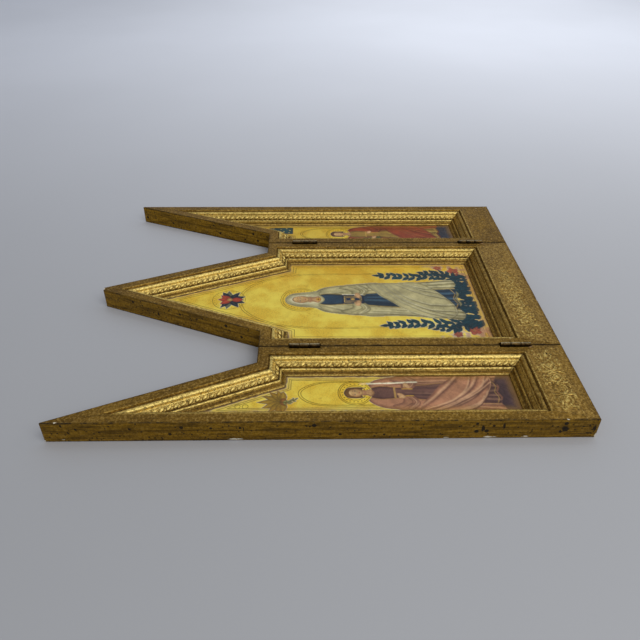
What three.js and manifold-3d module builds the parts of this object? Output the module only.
// A folding wooden triptych altarpiece, lying wide open on its back with its pictures up.
// Millimetres, +Z up out of the painted front. X runs across the open width, Y from the base edge to
// the tips, and the origin is on the underside below the middle of the whole.
import * as THREE from 'three';
import { mergeVertices } from 'three/addons/utils/BufferGeometryUtils.js';
import Module from 'manifold-3d';

const wasm = await Module();
wasm.setup();

// Outline of the panels
const HEIGHT = 400; // base edge to tips
const SHOULDER_HEIGHT = 251; // base edge to shoulders
const SHOULDER_WIDTH = 20; // level stub beside each gable
const CENTRE_WIDTH = 174;
const WING_WIDTH = 86;
const SEAM = 0.8; // gap between the centre and a wing
const THICKNESS = 18.5;
const CENTRE_TIP = 4.4; // flat width left on the centre gable's worn tip
const BASE_Y = -HEIGHT / 2;

// Sections of the frame rails
const RIM = 9; // flat front face of the side, shoulder and gable rails
const BASE_RIM = 33.5; // flat front face of the base rails
const MOULDING = 14; // width of the moulding that steps down to the picture
const LIP_UNDERSIDE = 5.8; // height of the lip that holds the picture board in
const REBATE = 8; // how far the rail runs on below the lip
const GAP = 0.3; // joint between neighbouring solids

// The moulding as [inward, down] steps from the front edge of the rim
const MOULDING_STEPS = [
  [0.2, 2.4], [0.7, 2.7], // the step off the rim
  [1.3, 1.9], [2.2, 1.7], [3.2, 2.5], [4, 4.3], // the large bead
  [4.5, 5.2], // a groove
  [5.1, 5.3], [8.1, 7.3], // the sloping seat of the pearls
  [8.6, 8.5], // a groove
  [9.2, 8.3], [10.1, 8.6], [10.5, 9.7], // the thin bead
  [11.3, 11.2], [12.3, 11.9], // the cove
  [13.1, 11.7], [MOULDING, 12.1], // the lip
];
const PEARL_SEAT = 7; // the step that the pearls' seat starts at
const PEARL_PITCH = 5.5;
const PEARL_RISE = 1.5;

// Picture boards, set in from behind
const BOARD_BACK = 0.8;
const BOARD_FRONT = 5.5;

// The raised gesso scroll on the base rails
const SCROLL_RISE = 0.4;
const SCROLL_MIDDLE = 19; // from the base edge
const SCROLL_SWING = 5.2;
const SCROLL_WAVE = 26;
const STEM_WIDTH = 1.5;

// Small butt hinges let into the seams
const HINGE_HEIGHTS = { lower: 38.4, upper: 213 }; // middles, from the base edge
const HINGE_LENGTH = 25;
const LEAF_THICKNESS = 0.9;
const LEAF_FOOT = 9; // lower edge of the leaves
const LEAF_TOP = 16.6; // upper edge of the leaves, between the knuckles
const BARREL_RADIUS = 1.75;
const BORE_RADIUS = 1.2;
const PIN_RADIUS = 0.9;
const KNUCKLE_GAP = 0.35;
const AXIS_X = (CENTRE_WIDTH + SEAM) / 2;
const AXIS_Z = THICKNESS + 0.6;
const SLOT = { length: 26.6, width: 2.7, depth: 3 }; // open cut round each barrel

const GILT_WOOD = new THREE.MeshStandardMaterial({ color: 0x8f7438, roughness: 0.55, metalness: 0.5 });
const GILT_MOULDING = new THREE.MeshStandardMaterial({ color: 0xa8873c, roughness: 0.45, metalness: 0.6 });
const PAINTED = new THREE.MeshStandardMaterial({ color: 0xb09a45, roughness: 0.5, metalness: 0.3 });
const BRASS = new THREE.MeshStandardMaterial({ color: 0xa98a4c, roughness: 0.4, metalness: 0.9 });

/** A growing list of vertices and triangles. */
class Shell {
  positions = [];
  triangles = [];

  point(x, y, z) {
    this.positions.push(x, y, z);
    return this.positions.length / 3 - 1;
  }

  /** Adds a flat convex face given by its corners in order. */
  face(...corners) {
    for (let i = 1; i < corners.length - 1; i += 1) {
      this.triangles.push(corners[0], corners[i], corners[i + 1]);
    }
  }

  geometry() {
    const geometry = new THREE.BufferGeometry();
    geometry.setAttribute('position', new THREE.Float32BufferAttribute(this.positions, 3));
    geometry.setIndex(this.triangles);
    return facingOut(geometry);
  }
}

/** Turns a closed geometry's faces over if they point inwards. */
function facingOut(geometry) {
  const index = geometry.index.array;
  const corner = (i) => new THREE.Vector3().fromBufferAttribute(geometry.attributes.position, index[i]);
  let volume = 0;
  for (let i = 0; i < index.length; i += 3) {
    volume += corner(i).dot(corner(i + 1).cross(corner(i + 2)));
  }
  if (volume < 0) {
    for (let i = 0; i < index.length; i += 3) {
      [index[i + 1], index[i + 2]] = [index[i + 2], index[i + 1]];
    }
  }
  return geometry;
}

function toSolid(geometry) {
  const bare = geometry.clone();
  bare.deleteAttribute('normal');
  bare.deleteAttribute('uv');
  const merged = mergeVertices(bare, 1e-4);
  return new wasm.Manifold(new wasm.Mesh({
    numProp: 3,
    vertProperties: new Float32Array(merged.attributes.position.array),
    triVerts: new Uint32Array(merged.index.array),
  }));
}

function fromSolid(solid) {
  const mesh = solid.getMesh();
  const geometry = new THREE.BufferGeometry();
  geometry.setAttribute('position', new THREE.BufferAttribute(mesh.vertProperties.slice(), 3));
  geometry.setIndex(Array.from(mesh.triVerts));
  return geometry;
}

/** A box between two opposite corners. */
function box(low, high) {
  const size = high.map((value, axis) => value - low[axis]);
  const middle = high.map((value, axis) => (value + low[axis]) / 2);
  return new THREE.BoxGeometry(...size).translate(...middle);
}

const mesh = (name, geometry, material) => {
  const made = new THREE.Mesh(geometry.index ? geometry.toNonIndexed() : geometry, material);
  made.geometry.computeVertexNormals();
  made.name = name;
  return made;
};

// ---- Outlines ----

/** The centre panel's corners counter-clockwise, with the side that starts at each one. */
function centreSides() {
  const half = CENTRE_WIDTH / 2;
  const neck = half - SHOULDER_WIDTH;
  const slope = (HEIGHT - SHOULDER_HEIGHT) / (neck - CENTRE_TIP / 2);
  const apex = SHOULDER_HEIGHT + slope * neck;
  return [
    { name: 'base_rail', at: [-half, 0], rim: BASE_RIM },
    { name: 'right_stile', at: [half, 0], rim: RIM, seam: 1 },
    { name: 'right_shoulder_rail', at: [half, SHOULDER_HEIGHT], rim: RIM },
    { name: 'right_gable_rail', at: [neck, SHOULDER_HEIGHT], rim: RIM },
    { name: 'left_gable_rail', at: [0, apex], rim: RIM },
    { name: 'left_shoulder_rail', at: [-neck, SHOULDER_HEIGHT], rim: RIM },
    { name: 'left_stile', at: [-half, SHOULDER_HEIGHT], rim: RIM, seam: -1 },
  ];
}

/** The right wing's corners and sides: half of the centre's outline, with its tip outermost. */
function rightWingSides() {
  const inner = CENTRE_WIDTH / 2 + SEAM;
  const outer = inner + WING_WIDTH;
  const neck = inner + SHOULDER_WIDTH;
  const slope = (HEIGHT - SHOULDER_HEIGHT) / ((CENTRE_WIDTH - CENTRE_TIP) / 2 - SHOULDER_WIDTH);
  const apex = SHOULDER_HEIGHT + slope * (outer - neck);
  return [
    { name: 'base_rail', at: [inner, 0], rim: BASE_RIM },
    { name: 'outer_stile', at: [outer, 0], rim: RIM },
    { name: 'gable_rail', at: [outer, apex], rim: RIM },
    { name: 'shoulder_rail', at: [neck, SHOULDER_HEIGHT], rim: RIM },
    { name: 'hinge_stile', at: [inner, SHOULDER_HEIGHT], rim: RIM, seam: -1 },
  ];
}

/** The same sides mirrored left to right, still counter-clockwise. */
function mirrored(sides) {
  return sides.map((side, i) => {
    const end = sides[(i + 1) % sides.length].at;
    return { ...side, at: [-end[0], end[1]], seam: side.seam && -side.seam };
  }).reverse();
}

/** Each side with its direction, its inward normal and its length. */
function measured(sides) {
  return sides.map((side, i) => {
    const start = new THREE.Vector2(...side.at);
    const end = new THREE.Vector2(...sides[(i + 1) % sides.length].at);
    const along = end.clone().sub(start);
    const length = along.length();
    along.normalize();
    return { ...side, start, end, along, length, inward: new THREE.Vector2(-along.y, along.x) };
  });
}

// ---- Rails ----

/** How a side is cut off where it meets its neighbour: along the rims' mitre, then along the
 *  mouldings' mitre, with half a joint's gap, and level with the tips where the corner is higher. */
function cutAtCorner(corner, away, side, neighbour) {
  const across = neighbour.inward.dot(away);
  const turn = neighbour.inward.dot(side.inward);
  const rimSlope = (neighbour.rim / side.rim - turn) / across;
  const mouldingSlope = (1 - turn) / across;
  const clearance = (slope) => (GAP / 2) * Math.hypot(1, slope);
  const mitre = (t) => (t <= side.rim
    ? rimSlope * t + clearance(rimSlope)
    : rimSlope * side.rim + mouldingSlope * (t - side.rim) + clearance(mouldingSlope));
  if (corner.y <= HEIGHT) {
    return { bends: [], distance: mitre };
  }
  const level = (t) => (HEIGHT - corner.y - side.inward.y * t) / away.y;
  const bend = (level(0) - mitre(0)) / (rimSlope + side.inward.y / away.y);
  return { bends: [bend], distance: (t) => (t < bend ? level(t) : mitre(t)) };
}

/** The cross-section of a rail as [inward, height] points, from the outer foot up and over. */
function railSection(rim, bends) {
  const moulding = MOULDING_STEPS.map(([inward, down]) => [rim + inward, THICKNESS - down]);
  const rebate = rim + REBATE;
  return [
    [0, 0], [0, THICKNESS],
    ...bends.map((t) => [t, THICKNESS]), [rim, THICKNESS],
    ...moulding, [rim + MOULDING, LIP_UNDERSIDE],
    [rebate, LIP_UNDERSIDE], [rebate, 0], [rim, 0],
    ...bends.map((t) => [t, 0]).reverse(),
  ];
}

/** One moulded rail as a closed shell: with ornament on its rim, or else with pearls on its moulding. */
function railGeometry(side, before, after, ornament) {
  const startCut = cutAtCorner(side.start, side.along, side, before);
  const endCut = cutAtCorner(side.end, side.along.clone().negate(), side, after);
  const bends = [...startCut.bends, ...endCut.bends];
  const section = railSection(side.rim, bends);
  const shell = new Shell();
  const place = (s, t, z) => {
    const spot = side.start.clone().addScaledVector(side.along, s).addScaledVector(side.inward, t);
    return shell.point(spot.x, spot.y, z);
  };
  const reach = section.map(([t]) => [startCut.distance(t), side.length - endCut.distance(t)]);
  const rail = section.map(([t, z], i) => reach[i].map((s) => place(s, t, z)));

  const rimEdge = bends.length + 2;
  const seat = rimEdge + 1 + PEARL_SEAT;
  const seatEdges = ornament ? {} : pearlRow(shell, section, reach, rail, seat, place);
  rail.forEach(([start, end], i) => {
    const [nextStart, nextEnd] = rail[(i + 1) % rail.length];
    const edge = [start, ...(seatEdges[i] ?? []), end];
    const nextEdge = [nextStart, ...(seatEdges[i + 1] ?? []), nextEnd];
    if (ornament && i === 1) {
      raisedFace(shell, [start, end, nextEnd, nextStart], ornament, place);
    } else if (ornament || i !== seat) {
      joinEdges(shell, edge, nextEdge);
    }
  });

  const columns = bends.length + 1;
  for (let c = 0; c < columns; c += 1) {
    const foot = c === 0 ? 0 : section.length - c;
    const corners = [foot, 1 + c, 2 + c, section.length - c - 1];
    shell.face(...corners.map((i) => rail[i][0]));
    shell.face(...corners.reverse().map((i) => rail[i][1]));
  }
  const inner = section.slice(rimEdge, section.length - bends.length);
  for (const triangle of triangulated(inner.map(([t, z]) => new THREE.Vector2(t, z)))) {
    shell.face(...triangle.map((i) => rail[rimEdge + i][1]));
    shell.face(...triangle.reverse().map((i) => rail[rimEdge + i][0]));
  }
  return shell.geometry();
}

/** Triangles of a flat outline with holes, all counter-clockwise. */
function triangulated(outline, holes = []) {
  const points = [outline, ...holes].flat();
  return THREE.ShapeUtils.triangulateShape(outline, holes).map((triangle) => {
    const clockwise = THREE.ShapeUtils.isClockWise(triangle.map((i) => points[i]));
    return clockwise ? triangle.reverse() : triangle;
  });
}

/** Joins two parallel rows of points that run the same way; at most one of them is subdivided. */
function joinEdges(shell, row, nextRow) {
  const flip = nextRow.length > row.length;
  const [many, few] = flip ? [nextRow, row] : [row, nextRow];
  const triangle = (a, b, c) => (flip ? shell.face(a, c, b) : shell.face(a, b, c));
  const half = Math.floor((many.length - 1) / 2);
  for (let i = 0; i < many.length - 1; i += 1) {
    triangle(many[i], many[i + 1], few[i < half ? 0 : 1]);
  }
  triangle(few[1], few[0], many[half]);
}

/** A row of four-sided pearls on their seat, and the points they add to the seat's two edges. */
function pearlRow(shell, section, reach, rail, seat, place) {
  const [low, high] = [section[seat], section[seat + 1]];
  const from = Math.max(reach[seat][0], reach[seat + 1][0]) + 1;
  const to = Math.min(reach[seat][1], reach[seat + 1][1]) - 1;
  const count = Math.floor((to - from) / PEARL_PITCH);
  const first = (from + to - count * PEARL_PITCH) / 2;
  const dots = Array.from({ length: count + 1 }, (_, j) => first + j * PEARL_PITCH);
  const outer = dots.map((s) => place(s, ...low));
  const inner = dots.map((s) => place(s, ...high));
  const [run, fall] = [high[0] - low[0], high[1] - low[1]];
  const lift = PEARL_RISE / Math.hypot(run, fall);
  const crown = [(low[0] + high[0]) / 2 - lift * fall, (low[1] + high[1]) / 2 + lift * run];
  for (let j = 0; j < count; j += 1) {
    const tip = place(first + (j + 0.5) * PEARL_PITCH, ...crown);
    const foot = [outer[j], outer[j + 1], inner[j + 1], inner[j]];
    foot.forEach((corner, k) => shell.face(corner, foot[(k + 1) % 4], tip));
  }
  shell.face(rail[seat][0], outer[0], inner[0], rail[seat + 1][0]);
  shell.face(outer[count], rail[seat][1], rail[seat + 1][1], inner[count]);
  return { [seat]: outer, [seat + 1]: inner };
}

/** A level face with raised ornament: each loop becomes a low plateau that stands on the face. */
function raisedFace(shell, corners, loops, place) {
  const flat = (id) => new THREE.Vector2(shell.positions[3 * id], shell.positions[3 * id + 1]);
  const feet = loops.map((loop) => loop.map(([s, t]) => place(s, t, THICKNESS)));
  const heads = loops.map((loop) => loop.map(([s, t]) => place(s, t, THICKNESS + SCROLL_RISE)));
  const ids = [corners, ...feet].flat();
  for (const triangle of triangulated(corners.map(flat), feet.map((loop) => loop.map(flat)))) {
    shell.face(...triangle.map((i) => ids[i]));
  }
  feet.forEach((foot, k) => {
    const head = heads[k];
    const clockwise = THREE.ShapeUtils.isClockWise(foot.map(flat));
    foot.forEach((corner, i) => {
      const next = (i + 1) % foot.length;
      const wall = [corner, foot[next], head[next], head[i]];
      shell.face(...(clockwise ? wall.reverse() : wall));
    });
    for (const triangle of triangulated(head.map(flat))) {
      shell.face(...triangle.map((i) => head[i]));
    }
  });
}

// ---- The scroll on the base rails, as loops of [along, inward] points ----

const wave = (s) => SCROLL_MIDDLE + SCROLL_SWING * Math.sin((2 * Math.PI * s) / SCROLL_WAVE);

/** A ribbon of even width along a path of [along, inward] points. */
function ribbon(path) {
  const edge = (sign) => path.map(([s, t], i) => {
    const [before, after] = [path[Math.max(i - 1, 0)], path[Math.min(i + 1, path.length - 1)]];
    const [ds, dt] = [after[0] - before[0], after[1] - before[1]];
    const shift = (sign * STEM_WIDTH) / 2 / Math.hypot(ds, dt);
    return [s - dt * shift, t + ds * shift];
  });
  return [...edge(-1), ...edge(1).reverse()];
}

function stem(from, to) {
  const steps = Math.round(((to - from) / SCROLL_WAVE) * 8);
  return ribbon(Array.from({ length: steps + 1 }, (_, i) => {
    const s = from + ((to - from) * i) / steps;
    return [s, wave(s)];
  }));
}

function rosette(s, t) {
  return Array.from({ length: 10 }, (_, i) => {
    const radius = i % 2 ? 1.7 : 2.7;
    const angle = (i * Math.PI) / 5;
    return [s + radius * Math.cos(angle), t + radius * Math.sin(angle)];
  });
}

function leaf(s, t, tilt) {
  const outline = [[-2.7, 0], [-1.1, -0.9], [1.1, -0.9], [2.7, 0], [1.1, 0.9], [-1.1, 0.9]];
  const [cos, sin] = [Math.cos(tilt), Math.sin(tilt)];
  return outline.map(([a, b]) => [s + a * cos - b * sin, t + a * sin + b * cos]);
}

/** A flower with two leaves in every bend of the stem between two places. */
function flowering(from, to, withLeaves) {
  const loops = [];
  for (let k = 0; (k + 0.5) * (SCROLL_WAVE / 2) < to - 3; k += 1) {
    const s = (k + 0.5) * (SCROLL_WAVE / 2);
    const up = k % 2 ? -1 : 1;
    if (s > from + 3) {
      loops.push(rosette(s, SCROLL_MIDDLE + 0.3 * up));
      if (withLeaves) {
        loops.push(leaf(s - 2.9, SCROLL_MIDDLE - 5.6 * up, 0.6 * up));
        loops.push(leaf(s + 2.9, SCROLL_MIDDLE - 5.6 * up, -0.6 * up));
      }
    }
  }
  return loops;
}

/** A curled tendril round a point. */
function whorl(s, t) {
  return ribbon(Array.from({ length: 19 }, (_, i) => {
    const radius = 1.2 + 0.27 * i;
    const angle = (i * Math.PI) / 6;
    return [s + radius * Math.cos(angle), t + radius * Math.sin(angle)];
  }));
}

const ORNAMENT = {
  left_wing: [stem(11, 75), ...flowering(11, 75, true)],
  centre: [stem(11, 138), ...flowering(11, 100, true), ...flowering(100, 164, false)],
  right_wing: [
    whorl(48, SCROLL_MIDDLE), rosette(36, SCROLL_MIDDLE), rosette(61, SCROLL_MIDDLE),
    leaf(28, SCROLL_MIDDLE + 3, 0.5), leaf(28, SCROLL_MIDDLE - 3, -0.5),
    leaf(69, SCROLL_MIDDLE + 3, -0.5), leaf(69, SCROLL_MIDDLE - 3, 0.5),
  ],
};

// ---- Panels ----

/** A panel's outline drawn in by a distance from each side. */
function inset(sides, distance) {
  return sides.map((side, i) => {
    const before = sides[(i + sides.length - 1) % sides.length];
    const across = before.inward.dot(side.along);
    const turn = before.inward.dot(side.inward);
    const along = (distance(before) - distance(side) * turn) / across;
    return side.start.clone().addScaledVector(side.along, along)
      .addScaledVector(side.inward, distance(side));
  });
}

function boardGeometry(sides) {
  const outline = inset(sides, (side) => side.rim + REBATE + GAP);
  const depth = BOARD_FRONT - BOARD_BACK;
  const board = new THREE.ExtrudeGeometry(new THREE.Shape(outline), { depth, bevelEnabled: false });
  return board.translate(0, 0, BOARD_BACK);
}

/** Cuts the open slots and the leaf mortises of both hinges into a stile's seam face. */
function withHingeCuts(geometry, side) {
  let solid = toSolid(geometry);
  const face = side.start.x;
  const cut = (depth, half, middle, low, high) => {
    const [x0, x1] = [face - side.seam * depth, face + side.seam].sort((a, b) => a - b);
    solid = solid.subtract(toSolid(box([x0, middle - half, low], [x1, middle + half, high])));
  };
  for (const middle of Object.values(HINGE_HEIGHTS)) {
    cut(SLOT.width, SLOT.length / 2, middle, THICKNESS - SLOT.depth, THICKNESS + 1);
    cut(LEAF_THICKNESS + GAP, HINGE_LENGTH / 2 + GAP, middle, LEAF_FOOT - GAP, THICKNESS + 1);
  }
  return fromSolid(solid);
}

function panel(name, sides, ornament) {
  const group = new THREE.Group();
  const measures = measured(sides);
  measures.forEach((side, i) => {
    const before = measures[(i + measures.length - 1) % measures.length];
    const after = measures[(i + 1) % measures.length];
    const isBase = side.name === 'base_rail';
    const rail = railGeometry(side, before, after, isBase && ornament);
    const cut = side.seam ? withHingeCuts(rail, side) : rail;
    group.add(mesh(`${name}_${side.name}`, cut, isBase ? GILT_WOOD : GILT_MOULDING));
  });
  group.add(mesh(`${name}_picture`, boardGeometry(measures), PAINTED));
  group.position.y = BASE_Y;
  return group;
}

// ---- Hinges ----

/** The knuckles' ends along the axis: two outer ones on the centre leaf, one on the wing leaf. */
const KNUCKLE = (HINGE_LENGTH - 2 * KNUCKLE_GAP) / 3;
const KNUCKLES = {
  centre: [-1, 1].map((sign) => sign * (KNUCKLE + KNUCKLE_GAP)),
  wing: [0],
};

function leafGeometry(owner, outward) {
  const [near, far] = [SEAM / 2, SEAM / 2 + LEAF_THICKNESS];
  const [x0, x1] = [near * outward, far * outward].sort((a, b) => a - b);
  const plate = box([x0, -HINGE_LENGTH / 2, LEAF_FOOT], [x1, HINGE_LENGTH / 2, LEAF_TOP]);
  const ring = new THREE.Shape().absarc(0, 0, BARREL_RADIUS, 0, 2 * Math.PI);
  ring.holes.push(new THREE.Path().absarc(0, 0, BORE_RADIUS, 0, 2 * Math.PI, true));
  let solid = toSolid(plate);
  for (const middle of KNUCKLES[owner]) {
    const barrel = new THREE.ExtrudeGeometry(ring, {
      depth: KNUCKLE, bevelEnabled: false, curveSegments: 8,
    });
    barrel.translate(0, 0, -KNUCKLE / 2).rotateX(Math.PI / 2).translate(0, middle, AXIS_Z);
    const web = box(
      [x0, middle - KNUCKLE / 2, LEAF_TOP - 0.5],
      [x1, middle + KNUCKLE / 2, AXIS_Z - BORE_RADIUS],
    );
    solid = solid.add(toSolid(web)).add(toSolid(barrel));
  }
  return fromSolid(solid);
}

function hinge(name, side, height) {
  const group = new THREE.Group();
  group.add(mesh(`${name}_centre_leaf`, leafGeometry('centre', -side), BRASS));
  group.add(mesh(`${name}_wing_leaf`, leafGeometry('wing', side), BRASS));
  const pin = new THREE.CylinderGeometry(PIN_RADIUS, PIN_RADIUS, HINGE_LENGTH - 0.4, 12);
  const pinMesh = mesh(`${name}_pin`, pin, BRASS);
  pinMesh.position.z = AXIS_Z;
  group.add(pinMesh);
  group.position.set(side * AXIS_X, BASE_Y + height, 0);
  return group;
}

const triptych = new THREE.Group();
triptych.add(panel('centre', centreSides(), ORNAMENT.centre));
triptych.add(panel('left_wing', mirrored(rightWingSides()), ORNAMENT.left_wing));
triptych.add(panel('right_wing', rightWingSides(), ORNAMENT.right_wing));
for (const [sideName, side] of [['left', -1], ['right', 1]]) {
  for (const [level, height] of Object.entries(HINGE_HEIGHTS)) {
    triptych.add(hinge(`${sideName}_${level}_hinge`, side, height));
  }
}

export default triptych;
